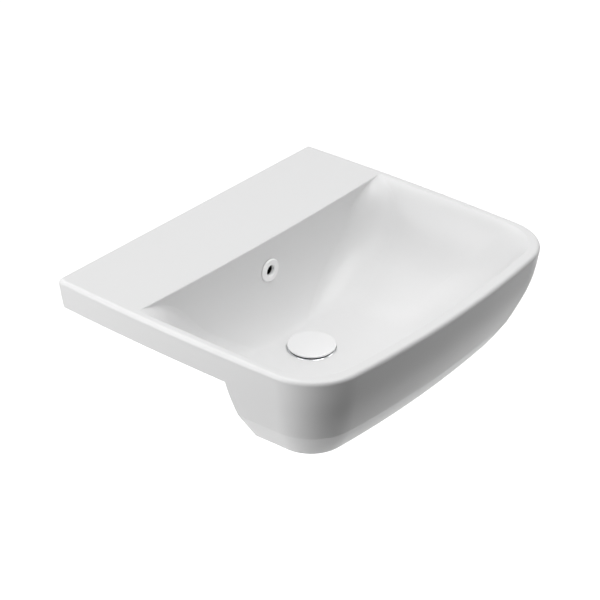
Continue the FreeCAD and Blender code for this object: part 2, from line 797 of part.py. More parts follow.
lower_seal = new_body("lower_seal")
lip = size("lower_seal_lip")
lip_thickness = 0.7
lip_gap = 0.2
seal_bevel = 2
washer = size("washer_radius")
washer_top = boss_foot - size("lower_seal_thickness")
turned(lower_seal, "lower_seal_cone", [
    (tube + slack, boss_foot + lip),
    (tube + lip_thickness, boss_foot + lip),
    (size("drain_hole_radius") - lip_gap, boss_foot),
    (washer - lip, boss_foot),
    (washer, boss_foot - seal_bevel),
    (washer, washer_top),
    (tube + slack, washer_top),
])

slip_washer = new_body("slip_washer")
washer_foot = washer_top - size("washer_thickness")
turned(slip_washer, "slip_washer_ring", [
    (tube + slack, washer_foot),
    (washer, washer_foot),
    (washer, washer_top),
    (tube + slack, washer_top),
])

back_nut = new_body("back_nut")
nut_foot = washer_foot - size("back_nut_height")
nut_reach = size("back_nut_flats") / math.sqrt(3.0)
pad(back_nut, hexagon(back_nut, "back_nut_outline", size("back_nut_flats"), nut_foot), "back_nut_block",
    size("back_nut_height"))
pocket(back_nut, circle(back_nut, "back_nut_thread_outline", tube + slack, washer_foot), "back_nut_thread",
       size("back_nut_height"))
# The cut starts just below the nut, so that no thin skin stays under it.
below_nut = nut_foot - 0.01
corner_depth = 3
corner_height = 2.2
corner_cut = polygon(back_nut, "back_nut_corner_outline", [
    (nut_reach - corner_depth, below_nut),
    (nut_reach + 1, below_nut),
    (nut_reach + 1, nut_foot + corner_height),
])
groove = back_nut.newObject("PartDesign::Groove", "back_nut_corners")
groove.Profile = corner_cut
groove.ReferenceAxis = (corner_cut, ["V_Axis"])
groove.Angle = 360.0
groove.Refine = False

# ---------------------------------------------------------------- the push cartridge

lift = size("plug_lift")
press = size("plug_press")
bush_foot = barrel_top - size("bush_depth")
rod = size("rod_radius")
STOP_GAP = 0.3
piston_top = bush_foot - lift - STOP_GAP
piston_foot = piston_top - size("piston_thickness")
rotor_foot = piston_foot - size("rotor_thickness")

barrel_body = new_body("cartridge_housing")
screw_chamfer = 0.8
turned(barrel_body, "barrel", [
    (none, bridge_foot),
    (screw - screw_chamfer, bridge_foot),
    (screw, bridge_foot + screw_chamfer),
    (screw, barrel_foot),
    (barrel, barrel_foot),
    (barrel, barrel_top),
    (barrel_bore, barrel_top),
    (barrel_bore, barrel_floor),
    (none, barrel_floor),
])
slot_half = size("barrel_slot_width") / 2
slot_foot = barrel_floor + 2
slot_top = slot_foot + size("barrel_slot_height")
relief = polygon(barrel_body, "drain_slot_outline", [
    (-slot_half, slot_foot),
    (slot_half, slot_foot),
    (slot_half, slot_top),
    (-slot_half, slot_top),
])
relief_cut = pocket(barrel_body, relief, "drain_slot", barrel + cut_past)
around(barrel_body, "drain_slots", relief_cut, circle(barrel_body, "slot_axis", barrel, barrel_foot), 2)

bush = new_body("guide_bush")
bush_top = barrel_top + size("bush_head")
turned(bush, "bush", [
    (rod + slip, bush_foot),
    (barrel_bore, bush_foot),
    (barrel_bore, barrel_top),
    (barrel, barrel_top),
    (barrel, bush_top - chamfer),
    (barrel - chamfer, bush_top),
    (rod + slip, bush_top),
])

# The plug hangs together from the cap down to the rotor.
disc_foot = flange_top + press + size("carrier_gap")
disc_top = disc_foot + size("carrier_thickness")
plug_seal_top = flange_top - size("plug_seal_depth")
plug_seal_foot = plug_seal_top - size("plug_seal_thickness")
hub_foot = plug_seal_foot - size("hub_lip_height")
hub_radius = size("carrier_hub_radius")
stud = size("stud_radius")
nut_top = hub_foot
lock_nut_foot = nut_top - size("lock_nut_height")
ROD_SHOWING = 0.8
rod_top = bush_top + press + ROD_SHOWING
stud_top = hub_foot + size("stud_hold_in_hub")
stud_foot = rod_top - size("stud_hold")

plunger = new_body("plunger")
spigot = size("spigot_radius")
spigot_foot = rotor_foot - size("spigot_length")
turned(plunger, "plunger_rod", [
    (none, spigot_foot),
    (spigot - chamfer, spigot_foot),
    (spigot, spigot_foot + chamfer),
    (spigot, piston_foot),
    (barrel_bore - slip, piston_foot),
    (barrel_bore - slip, piston_top),
    (rod, piston_top),
    (rod, rod_top - chamfer),
    (rod - chamfer, rod_top),
    (stud + slack, rod_top),
    (stud + slack, stud_foot - chamfer),
    (none, stud_foot - chamfer),
])

rotor = new_body("latch_rotor")
tooth = size("rotor_tooth_height")
rotor_edge = barrel_bore - 0.6
turned(rotor, "rotor_ring", [
    (spigot + slip, rotor_foot),
    (rotor_edge, rotor_foot),
    (rotor_edge, piston_foot),
    (spigot + slip, piston_foot),
])
# Each notch is as wide on both sides as it is deep, and starts just above the rotor.
above_rotor = piston_foot + 0.01
notch = polygon(rotor, "rotor_tooth_outline", [
    (-tooth, above_rotor),
    (tooth, above_rotor),
    (tooth, piston_foot - tooth),
])
notch_cut = pocket(rotor, notch, "rotor_tooth", barrel_bore)
around(rotor, "rotor_teeth", notch_cut, circle(rotor, "rotor_axis", rod, rotor_foot), 8)

spring = new_body("cartridge_spring")
SPRING_TURNS = 7
BENDS_PER_TURN = 4
wire = size("spring_wire_radius")
end_gap = size("spring_end_gap")
coil_radius = barrel_bore - size("spring_bore_gap") - wire
coil_foot = barrel_floor + wire + end_gap
coil_rise = rotor_foot - barrel_floor - (wire + end_gap) * 2


def on_coil(turns):
    """The point and the direction of the spring's centre line after so many turns."""
    angle = 2.0 * math.pi * turns
    pitch = coil_rise.number / SPRING_TURNS
    point = Vector(coil_radius.number * math.cos(angle), coil_radius.number * math.sin(angle),
                   coil_foot.number + pitch * turns)
    direction = Vector(-coil_radius.number * math.sin(angle), coil_radius.number * math.cos(angle),
                       pitch / (2.0 * math.pi))
    return point, direction.normalize()


def arc_from(start, direction, end):
    """The arc that leaves start in a direction and reaches end."""
    chord = end - start
    inward = direction.cross(chord).cross(direction).normalize()
    radius = chord.dot(chord) / (2.0 * inward.dot(chord))
    centre = start + inward * radius
    middle = start + chord * 0.5 - centre
    return Part.Arc(start, centre + middle * (radius / middle.Length), end).toShape()


def two_arcs(first, last):
    """Two arcs that meet smoothly between two points of the coil with their directions."""
    (start, leave), (end, arrive) = first, last
    chord = end - start
    both = leave + arrive
    bend = 2.0 * (1.0 - leave.dot(arrive))
    reach = (math.sqrt(chord.dot(both) ** 2 + bend * chord.dot(chord)) - chord.dot(both)) / bend
    middle = (start + leave * reach + end - arrive * reach) * 0.5
    return [arc_from(start, leave, middle), arc_from(end, -arrive, middle)]


bends = [on_coil(bend / BENDS_PER_TURN) for bend in range(SPRING_TURNS * BENDS_PER_TURN + 1)]
coil_path = doc.addObject("Part::Feature", "coil_path")
coil_path.Shape = Part.Wire([edge for first, last in zip(bends, bends[1:]) for edge in two_arcs(first, last)])
wire_section = polygon(spring, "wire_section", [
    (coil_radius + wire * math.cos(math.radians(angle)), coil_foot + wire * math.sin(math.radians(angle)))
    for angle in range(30, 390, 60)])
coil = spring.newObject("PartDesign::AdditivePipe", "coil")
coil.Profile = wire_section
coil.Spine = coil_path
coil.Mode = "Standard"
coil.Refine = False
print("spring gap between turns", round(coil_rise.number / SPRING_TURNS - 2 * wire.number, 2))

stud_body = new_body("plug_stud")
stud_chamfer = size("stud_chamfer")
turned(stud_body, "stud", [
    (none, stud_foot),
    (stud - stud_chamfer, stud_foot),
    (stud, stud_foot + stud_chamfer),
    (stud, stud_top - stud_chamfer),
    (stud - stud_chamfer, stud_top),
    (none, stud_top),
])

lock_nut = new_body("lock_nut")
pad(lock_nut, hexagon(lock_nut, "lock_nut_outline", size("lock_nut_flats"), lock_nut_foot),
    "lock_nut_block", size("lock_nut_height"))
pocket(lock_nut, circle(lock_nut, "lock_nut_thread_outline", stud + slack, nut_top), "lock_nut_thread",
       size("lock_nut_height"))

carrier = new_body("cap_carrier")
carrier_radius = size("cap_radius") - size("cap_overhang")
disc_chamfer = size("carrier_gap")
lip_edge = hub_radius + size("hub_lip_radius")
stud_room = stud_top + STOP_GAP
turned(carrier, "carrier", [
    (none, disc_top),
    (carrier_radius, disc_top),
    (carrier_radius, disc_foot + disc_chamfer),
    (carrier_radius - disc_chamfer, disc_foot),
    (hub_radius, disc_foot),
    (hub_radius, plug_seal_foot),
    (lip_edge, plug_seal_foot),
    (lip_edge, hub_foot + stud_chamfer),
    (lip_edge - stud_chamfer, hub_foot),
    (stud + slack, hub_foot),
    (stud + slack, stud_room),
    (none, stud_room),
])

plug_seal = new_body("plug_seal")
seal_radius = bore - size("plug_seal_gap")
turned(plug_seal, "plug_seal_ring", [
    (hub_radius, plug_seal_foot),
    (seal_radius - chamfer * 2, plug_seal_foot),
    (seal_radius, plug_seal_foot + chamfer * 2),
    (seal_radius, plug_seal_top - stud_chamfer),
    (seal_radius - stud_chamfer, plug_seal_top),
    (hub_radius, plug_seal_top),
])

cap = new_body("plug_cap")
cap_radius = size("cap_radius")
cap_edge = disc_top + size("cap_edge_height")
cap_crown = disc_top + size("cap_height")


def dome_sketch():
    """Half of the cap's section: a flat foot, an upright edge, a rounding and a long shallow arc."""
    sketch = new_sketch(cap, "cap_section", "XZ_Plane")
    rise = cap_crown.number - cap_edge.number
    dome_radius = (cap_radius.number ** 2 + rise ** 2) / (2.0 * rise)
    edge_radius = size("cap_edge_radius")
    foot = Vector(0, disc_top.number, 0)
    rim_foot = Vector(cap_radius.number, disc_top.number, 0)
    crown = Vector(0, cap_crown.number, 0)
    centre = Vector(0, cap_crown.number - dome_radius, 0)
    edge_x = cap_radius.number - edge_radius.number
    edge_rise = math.sqrt((dome_radius - edge_radius.number) ** 2 - edge_x ** 2)
    edge_centre = Vector(edge_x, centre.y + edge_rise, 0)
    rim_top = Vector(cap_radius.number, edge_centre.y, 0)
    dome_foot = touch(centre, edge_centre, dome_radius)
    sketch.addGeometry([Part.LineSegment(foot, rim_foot), Part.LineSegment(rim_foot, rim_top),
                        arc(edge_centre, edge_radius.number, rim_top, dome_foot),
                        arc(centre, dome_radius, dome_foot, crown), Part.LineSegment(crown, foot)], False)
    sketch.addConstraint([Sketcher.Constraint("Coincident", 0, 2, 1, 1),
                          Sketcher.Constraint("Tangent", 1, 2, 2, 1),
                          Sketcher.Constraint("Tangent", 2, 2, 3, 1),
                          Sketcher.Constraint("Coincident", 3, 2, 4, 1),
                          Sketcher.Constraint("Coincident", 4, 2, 0, 1),
                          Sketcher.Constraint("Horizontal", 0), Sketcher.Constraint("Vertical", 1),
                          Sketcher.Constraint("PointOnObject", 0, 1, -2),
                          Sketcher.Constraint("PointOnObject", 4, 1, -2),
                          Sketcher.Constraint("PointOnObject", 3, 3, -2)])
    hold(sketch, "DistanceY", (-1, 1, 0, 1), disc_top)
    hold(sketch, "DistanceX", (-1, 1, 0, 2), cap_radius)
    hold(sketch, "Radius", (2,), edge_radius)
    hold(sketch, "Radius", (3,), as_size(dome_radius))
    hold(sketch, "DistanceY", (-1, 1, 4, 1), cap_crown)
    return sketch


section = dome_sketch()
dome = cap.newObject("PartDesign::Revolution", "dome")
dome.Profile = section
dome.ReferenceAxis = (section, ["V_Axis"])
dome.Angle = 360.0
dome.Refine = False

for body in (waste, flange_seal, lower_seal, slip_washer, back_nut, barrel_body, bush, plunger, rotor,
             spring, stud_body, lock_nut, carrier, plug_seal, cap):
    place(body, along_y=drain_y)

# ---------------------------------------------------------------- the overflow ring

ring = new_body("overflow_ring")
ring_neck = size("overflow_hole_radius") - size("ring_fit_gap")
ring_bore = size("ring_bore_radius")
ring_flange = size("ring_radius")
ring_height = size("ring_thickness")
neck_end = -size("ring_neck_length")
outer_bevel = size("ring_outer_bevel")
bore_bevel = size("ring_bore_bevel")
turned(ring, "ring", [
    (ring_bore, neck_end),
    (ring_neck, neck_end),
    (ring_neck, none),
    (ring_flange, none),
    (ring_flange, ring_height - outer_bevel),
    (ring_flange - outer_bevel, ring_height),
    (ring_bore + bore_bevel, ring_height),
    (ring_bore, ring_height - bore_bevel),
])
slit_half = size("ring_slit_width") / 2
slit_end = as_size(-3)
slit = polygon(ring, "slit_outline", [
    (-slit_half, neck_end - 1),
    (slit_half, neck_end - 1),
    (slit_half, slit_end),
    (-slit_half, slit_end),
])
slit_cut = pocket(ring, slit, "slit", ring_flange)
around(ring, "slits", slit_cut, circle(ring, "slit_axis", ring_neck, none), 4)
place(ring, turn_about_x=90.0, along_y=-overflow_face, up=overflow_z)

# ---------------------------------------------------------------- check and write

doc.recompute()
for item in doc.Objects:
    if "Invalid" in item.State or "Error" in item.State:
        raise RuntimeError(f"{item.Name} failed: {item.State}")

os.makedirs("parts", exist_ok=True)
for body in doc.findObjects("PartDesign::Body"):
    shape = body.Shape
    if shape.isNull() or not shape.isValid():
        raise RuntimeError(f"{body.Label} has no valid shape")
    shape.exportStep(f"parts/{body.Label}.step")
    print(body.Label, len(shape.Solids), round(shape.Volume), shape.BoundBox)
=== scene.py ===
# %% [markdown]
# # A semi recessed basin, dressed for its picture
#
# The basin's shape comes ready made: one glazed casting, a plastic ring in its overflow hole
# and a push waste under its floor. This lesson loads that frame, gives every piece the finish
# that the real one has, paints shade into the overflow duct and the ring's neck, adds the threads
# that the plain solids leave out, and then sets the lamps, the floor and the camera. Lengths are
# in metres, +Z is up and the wall is at y = 0.

# %% Load the frame
import json
import math
import bmesh
import bpy
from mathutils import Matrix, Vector


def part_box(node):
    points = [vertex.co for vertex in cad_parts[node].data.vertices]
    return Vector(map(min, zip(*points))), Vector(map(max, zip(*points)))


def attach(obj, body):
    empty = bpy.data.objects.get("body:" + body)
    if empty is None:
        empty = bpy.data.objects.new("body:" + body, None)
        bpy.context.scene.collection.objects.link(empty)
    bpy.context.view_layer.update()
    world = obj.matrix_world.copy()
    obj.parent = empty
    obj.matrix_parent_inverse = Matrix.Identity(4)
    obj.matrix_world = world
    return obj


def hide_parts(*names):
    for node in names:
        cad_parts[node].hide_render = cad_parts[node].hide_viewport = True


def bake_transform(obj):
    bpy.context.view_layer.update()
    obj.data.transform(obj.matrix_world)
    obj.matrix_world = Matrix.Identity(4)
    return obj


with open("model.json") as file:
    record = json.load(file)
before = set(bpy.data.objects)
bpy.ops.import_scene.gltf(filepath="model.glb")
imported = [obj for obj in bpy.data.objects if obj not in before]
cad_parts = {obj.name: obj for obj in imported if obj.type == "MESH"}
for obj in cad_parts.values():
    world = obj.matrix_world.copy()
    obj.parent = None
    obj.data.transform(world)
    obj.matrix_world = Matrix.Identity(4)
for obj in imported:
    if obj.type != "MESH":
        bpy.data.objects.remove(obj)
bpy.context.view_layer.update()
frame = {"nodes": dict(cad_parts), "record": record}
print("pieces in the frame:", len(frame["nodes"]))

# %% [markdown]
# ## A few words that every finish uses
#
# A material in Blender is a small graph of nodes. Writing "make a node, set its inputs, link it"
# over and over hides the idea, so two helpers do it: one places a node with plain values, the
# other runs a link. Anything that is the same all over a surface stays on the shader itself.

# %% Node helpers
def place_node(tree, kind, at, **values):
    """Put one node in a tree; values name either its settings or its input sockets."""
    node = tree.nodes.new(kind)
    node.location = at
    for name, value in values.items():
        if hasattr(node, name):
            setattr(node, name, value)
        else:
            node.inputs[name.replace("_", " ")].default_value = value
    return node


def wire(tree, *steps):
    """Link pairs of sockets: (node, output name) to (node, input name)."""
    for (source, out_name), (target, in_name) in zip(steps[::2], steps[1::2]):
        tree.links.new(source.outputs[out_name], target.inputs[in_name])


def new_group(name, inputs, outputs):
    """A node group with named sockets: (name, kind, start value) for each input."""
    tree = bpy.data.node_groups.new(name, "ShaderNodeTree")
    for label, kind, start in inputs:
        socket = tree.interface.new_socket(name=label, in_out="INPUT", socket_type=kind)
        if start is not None:
            socket.default_value = start
    for label, kind in outputs:
        tree.interface.new_socket(name=label, in_out="OUTPUT", socket_type=kind)
    given = place_node(tree, "NodeGroupInput", (-900, 0))
    result = place_node(tree, "NodeGroupOutput", (600, 0))
    return tree, given, result


COLOR, FLOAT = "NodeSocketColor", "NodeSocketFloat"

# %% [markdown]
# ## Cloudy tone
#
# No fired, moulded or plated surface is one flat colour: a glaze pools a little thicker here,
# a casting cools a little darker there. One soft noise mixes two close colours. It is a group,
# because the glaze, the plastics, the rubber and the metals all use it with their own values.

# %% Group: cloudy tone
cloudy_tone, given, result = new_group(
    "cloudy_tone",
    [("Main", COLOR, (0.8, 0.8, 0.8, 1)), ("Other", COLOR, (0.7, 0.7, 0.7, 1)),
     ("Scale", FLOAT, 8.0), ("Main Roughness", FLOAT, 0.2), ("Other Roughness", FLOAT, 0.3)],
    [("Color", COLOR), ("Roughness", FLOAT)])
spot = place_node(cloudy_tone, "ShaderNodeTexCoord", (-900, -300))
cloud = place_node(cloudy_tone, "ShaderNodeTexNoise", (-650, -200), Detail=3.0, Roughness=0.5)
span = place_node(cloudy_tone, "ShaderNodeMapRange", (-400, -200), From_Min=0.2, From_Max=0.8)
tone = place_node(cloudy_tone, "ShaderNodeMix", (-100, 100), data_type="RGBA")
shine = place_node(cloudy_tone, "ShaderNodeMix", (-100, -200), data_type="FLOAT")
wire(cloudy_tone, (spot, "Object"), (cloud, "Vector"), (given, "Scale"), (cloud, "Scale"),
     (cloud, "Fac"), (span, "Value"), (span, "Result"), (tone, "Factor"),
     (span, "Result"), (shine, "Factor"))
cloudy_tone.links.new(given.outputs["Main"], tone.inputs[6])
cloudy_tone.links.new(given.outputs["Other"], tone.inputs[7])
cloudy_tone.links.new(tone.outputs[2], result.inputs["Color"])
cloudy_tone.links.new(given.outputs["Main Roughness"], shine.inputs[2])
cloudy_tone.links.new(given.outputs["Other Roughness"], shine.inputs[3])
cloudy_tone.links.new(shine.outputs[0], result.inputs["Roughness"])
print("group", cloudy_tone.name, "puts out", [s.name for s in result.inputs if s.name])

# %% [markdown]
# ## Skin
#
# Under a lamp a glaze shows a faint orange peel, and a moulding a fine grain. Both are a slow
# wave with a fine one on top. The group gives that height; the Bump node stays in the material.

# %% Group: skin
skin, given, result = new_group(
    "skin", [("Slow Scale", FLOAT, 40.0), ("Fine Scale", FLOAT, 600.0), ("Fine Share", FLOAT, 0.3)],
    [("Height", FLOAT)])
spot = place_node(skin, "ShaderNodeTexCoord", (-900, -300))
slow = place_node(skin, "ShaderNodeTexNoise", (-650, 100), Detail=1.0)
fine = place_node(skin, "ShaderNodeTexNoise", (-650, -200), Detail=2.0)
both = place_node(skin, "ShaderNodeMix", (-200, 0), data_type="FLOAT")
wire(skin, (spot, "Object"), (slow, "Vector"), (spot, "Object"), (fine, "Vector"),
     (given, "Slow Scale"), (slow, "Scale"), (given, "Fine Scale"), (fine, "Scale"),
     (given, "Fine Share"), (both, "Factor"))
skin.links.new(slow.outputs["Fac"], both.inputs[2])
skin.links.new(fine.outputs["Fac"], both.inputs[3])
skin.links.new(both.outputs[0], result.inputs["Height"])
print("group", skin.name, "is ready")

# %% [markdown]
# ## Turning marks
#
# The waste's tube, nuts and cartridge are turned on a lathe, and the tool leaves fine rings
# about the axis. The drain's axis stands at x = 0 and y = minus the drain's distance, so the
# group measures each point's height and its distance from that axis and draws rings from both.

# %% Group: turning marks
DRAIN_DISTANCE = 0.2067
turning_marks, given, result = new_group(
    "turning_marks", [("Rings per Metre", FLOAT, 2500.0)], [("Height", FLOAT)])
spot = place_node(turning_marks, "ShaderNodeTexCoord", (-1300, -200))
shift = place_node(turning_marks, "ShaderNodeVectorMath", (-1100, -200), operation="ADD")
shift.inputs[1].default_value = (0.0, DRAIN_DISTANCE, 0.0)
parts = place_node(turning_marks, "ShaderNodeSeparateXYZ", (-900, -200))
flat = place_node(turning_marks, "ShaderNodeCombineXYZ", (-700, -300))
reach = place_node(turning_marks, "ShaderNodeVectorMath", (-500, -300), operation="LENGTH")
total = place_node(turning_marks, "ShaderNodeMath", (-300, -200), operation="ADD")
count = place_node(turning_marks, "ShaderNodeMath", (-100, -100), operation="MULTIPLY")
wave = place_node(turning_marks, "ShaderNodeMath", (100, -100), operation="SINE")
wire(turning_marks, (spot, "Object"), (shift, "Vector"), (shift, "Vector"), (parts, "Vector"),
     (parts, "X"), (flat, "X"), (parts, "Y"), (flat, "Y"), (flat, "Vector"), (reach, "Vector"),
     (count, "Value"), (wave, "Value"), (wave, "Value"), (result, "Height"))
turning_marks.links.new(parts.outputs["Z"], total.inputs[0])
turning_marks.links.new(reach.outputs["Value"], total.inputs[1])
turning_marks.links.new(total.outputs[0], count.inputs[0])
turning_marks.links.new(given.outputs["Rings per Metre"], count.inputs[1])
print("group", turning_marks.name, "is ready")

# %% [markdown]
# ## One recipe for a plain finish
#
# Most pieces need the same three things: a cloudy tone, its roughness and a skin. The function
# builds such a material around a Principled shader and leaves the fixed numbers (metal or not,
# how strong the clear coat is) on the shader's own sockets.

# %% A finish from tone and skin
def finish(name, main, other, roughness, tone_scale=8.0,
           slow=40.0, fine=600.0, depth=0.0001, **fixed):
    """A material: two close colours, a roughness range, and a skin of the given depth."""
    material = bpy.data.materials.new(name)
    material.use_nodes = True
    tree = material.node_tree
    shader = tree.nodes["Principled BSDF"]
    for socket, value in fixed.items():
        shader.inputs[socket.replace("_", " ")].default_value = value
    tone = place_node(tree, "ShaderNodeGroup", (-700, 200), node_tree=cloudy_tone)
    tone.inputs["Main"].default_value = (*main, 1)
    tone.inputs["Other"].default_value = (*other, 1)
    tone.inputs["Scale"].default_value = tone_scale
    tone.inputs["Main Roughness"].default_value = roughness[0]
    tone.inputs["Other Roughness"].default_value = roughness[1]
    peel = place_node(tree, "ShaderNodeGroup", (-700, -200), node_tree=skin)
    peel.inputs["Slow Scale"].default_value = slow
    peel.inputs["Fine Scale"].default_value = fine
    bump = place_node(tree, "ShaderNodeBump", (-400, -200), Distance=depth)
    wire(tree, (tone, "Color"), (shader, "Base Color"), (tone, "Roughness"), (shader, "Roughness"),
         (peel, "Height"), (bump, "Height"), (bump, "Normal"), (shader, "Normal"))
    print("finish", name, "roughness", roughness)
    return material, tree, shader, tone, bump


white_cap = finish("white_cap", (0.85, 0.85, 0.85), (0.84, 0.84, 0.845), (0.16, 0.20),
                   tone_scale=30.0, slow=120.0, fine=900.0, depth=0.00005, Coat_Weight=0.3)[0]
black_rubber = finish("black_rubber", (0.035, 0.035, 0.037), (0.055, 0.054, 0.052), (0.55, 0.75),
                      tone_scale=120.0, slow=500.0, fine=4000.0, depth=0.0001)[0]
grey_acetal = finish("grey_acetal", (0.50, 0.51, 0.52), (0.46, 0.47, 0.48), (0.35, 0.5),
                     tone_scale=90.0, slow=400.0, fine=3000.0, depth=0.00006)[0]

# %% [markdown]
# ## The glaze
#
# The casting is dipped in a white glaze, but not all over: the faces that meet the wall and the
# worktop are wiped bare before firing and ground flat. They stay a dull, slightly warm biscuit
# with a sandy feel. The mask for them comes from where the surface is and which way it faces,
# so it follows the solid without any painting.

# %% The glaze alone
glaze, tree, shader, tone, _ = finish(
    "glaze", (0.755, 0.755, 0.755), (0.748, 0.749, 0.751), (0.27, 0.30), tone_scale=5.0,
    slow=22.0, fine=260.0, depth=0.00004, Specular_IOR_Level=0.3)
spot = place_node(tree, "ShaderNodeTexCoord", (-1500, -500))
where = place_node(tree, "ShaderNodeSeparateXYZ", (-1300, -500))
facing = place_node(tree, "ShaderNodeNewGeometry", (-1500, -800))
turned = place_node(tree, "ShaderNodeSeparateXYZ", (-1300, -800))
wire(tree, (spot, "Object"), (where, "Vector"), (facing, "Normal"), (turned, "Vector"))

# %% [markdown]
# A mask is a number from 0 to 1 for each point of a surface. Map Range makes one from any value,
# with a soft border, and multiplying two keeps only where both are 1.

# %% Masks from place and direction
def step_mask(tree, value, edge, blur, at):
    """1 where the value lies above the edge, with a soft border."""
    node = place_node(tree, "ShaderNodeMapRange", at, From_Min=edge - blur, From_Max=edge + blur)
    tree.links.new(value, node.inputs["Value"])
    return node.outputs["Result"]


def below_mask(tree, value, edge, blur, at):
    """1 where the value lies below the edge, with a soft border."""
    node = place_node(tree, "ShaderNodeMapRange", at, From_Min=edge - blur,
                      From_Max=edge + blur, To_Min=1.0, To_Max=0.0)
    tree.links.new(value, node.inputs["Value"])
    return node.outputs["Result"]


def both_masks(tree, first, second, at):
    """1 where both masks are 1."""
    node = place_node(tree, "ShaderNodeMath", at, operation="MULTIPLY")
    tree.links.new(first, node.inputs[0])
    tree.links.new(second, node.inputs[1])
    return node.outputs[0]


def size_of(tree, value, at):
    """The value without its sign."""
    node = place_node(tree, "ShaderNodeMath", at, operation="ABSOLUTE")
    tree.links.new(value, node.inputs[0])
    return node.outputs[0]

# %% [markdown]
# The wall face lies at y = 0 and looks back; the worktop face lies at z = 0 and looks down.

# %% Where the clay is bare
WALL_EDGE, WALL_BLUR = -0.0006, 0.0003
WORKTOP_EDGE, WORKTOP_BLUR = 0.0006, 0.0002
SQUARE_ON, SQUARE_BLUR = 0.9, 0.05
at_wall = both_masks(
    tree, step_mask(tree, where.outputs["Y"], WALL_EDGE, WALL_BLUR, (-1100, -400)),
    step_mask(tree, turned.outputs["Y"], SQUARE_ON, SQUARE_BLUR, (-1100, -650)), (-900, -500))
down = place_node(tree, "ShaderNodeMath", (-1100, -900), operation="MULTIPLY")
tree.links.new(turned.outputs["Z"], down.inputs[0])
down.inputs[1].default_value = -1.0
height = size_of(tree, where.outputs["Z"], (-1100, -1100))
at_worktop = both_masks(
    tree, below_mask(tree, height, WORKTOP_EDGE, WORKTOP_BLUR, (-900, -1100)),
    step_mask(tree, down.outputs[0], SQUARE_ON, SQUARE_BLUR, (-900, -850)), (-700, -900))
bare = place_node(tree, "ShaderNodeMath", (-550, -700), operation="MAXIMUM")
tree.links.new(at_wall, bare.inputs[0])
tree.links.new(at_worktop, bare.inputs[1])
print("bare clay where the skirt meets wall and worktop")

# %% [markdown]
# The overflow duct runs down behind the bowl's wall. No light reaches it, so a box about its
# upright part is painted nearly black as painted shade, though its glaze is white like the rest.

# %% Where the duct's shade is painted
DUCT_HALF_WIDTH, DUCT_FRONT, DUCT_BACK = 0.0182, -0.1228, -0.1103
DUCT_TOP, DUCT_FOOT = 0.0252, -0.06
DUCT_BLUR = 0.0001
deep = both_masks(tree, step_mask(tree, where.outputs["Y"], DUCT_FRONT, DUCT_BLUR, (-1100, -1400)),
                  below_mask(tree, where.outputs["Y"], DUCT_BACK, DUCT_BLUR, (-1100, -1600)),
                  (-900, -1500))
upright = both_masks(
    tree, step_mask(tree, where.outputs["Z"], DUCT_FOOT, DUCT_BLUR, (-1100, -2200)),
    below_mask(tree, where.outputs["Z"], DUCT_TOP, DUCT_BLUR, (-1100, -2000)), (-900, -2100))
sideways = size_of(tree, where.outputs["X"], (-1300, -1300))
narrow = below_mask(tree, sideways, DUCT_HALF_WIDTH, DUCT_BLUR, (-1100, -1800))
painted_shade_in_duct = both_masks(tree, both_masks(tree, deep, upright, (-700, -1800)), narrow, (-500, -1500))
print("duct from z =", DUCT_FOOT, "to", DUCT_TOP)

# %% [markdown]
# The two masks now choose between glaze, clay and shadow, for the colour and for the roughness.

# %% Join glaze, clay and the duct's painted shade
BISCUIT, BISCUIT_ROUGHNESS = (0.70, 0.67, 0.62, 1), 0.85
# Painted shade: a near black that stands in for the shadow inside the white glazed duct.
DUCT_PAINTED_SHADE = (0.012, 0.011, 0.010, 1)
biscuit = place_node(tree, "ShaderNodeMix", (-350, 300), data_type="RGBA")
dull = place_node(tree, "ShaderNodeMix", (-350, 50), data_type="FLOAT")
painted_duct_shade = place_node(tree, "ShaderNodeMix", (-150, 400), data_type="RGBA")
biscuit.inputs[7].default_value = BISCUIT
dull.inputs[3].default_value = BISCUIT_ROUGHNESS
painted_duct_shade.inputs[7].default_value = DUCT_PAINTED_SHADE
for source, target in ((bare.outputs[0], biscuit.inputs["Factor"]),
                       (bare.outputs[0], dull.inputs["Factor"]),
                       (painted_shade_in_duct, painted_duct_shade.inputs["Factor"]),
                       (tone.outputs["Color"], biscuit.inputs[6]),
                       (tone.outputs["Roughness"], dull.inputs[2]),
                       (biscuit.outputs[2], painted_duct_shade.inputs[6]),
                       (painted_duct_shade.outputs[2], shader.inputs["Base Color"]),
                       (dull.outputs[0], shader.inputs["Roughness"])):
    tree.links.new(source, target)
print("glaze has", len(tree.nodes), "nodes")

# %% [markdown]
# ## The overflow ring
#
# The ring is bright white plastic, and the lip and the neck are one moulding. Its lip is lit, but
# its neck reaches back into the dark duct, and the hole looks black behind the first few
# millimetres. So
# the neck is painted black as painted shade, and a mask of the same kind tells them apart by depth:
# white in front, painted shade behind.

# %% The ring's plastic, with painted shade on its neck
LIP_DEPTH, LIP_BLUR = 0.0052, 0.0002
# Painted shade: the neck is the same white plastic as the lip; this black stands in for its shadow.
NECK_PAINTED_SHADE = (0.006, 0.006, 0.006, 1)
ring_plastic, tree, shader, tone, _ = finish(
    "ring_plastic", (0.95, 0.95, 0.95), (0.94, 0.94, 0.94), (0.22, 0.26),
    tone_scale=60.0, slow=300.0, fine=3000.0, depth=0.00004)
ring_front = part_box("overflow_ring")[0][1]
spot = place_node(tree, "ShaderNodeTexCoord", (-1500, -500))
where = place_node(tree, "ShaderNodeSeparateXYZ", (-1300, -500))
wire(tree, (spot, "Object"), (where, "Vector"))
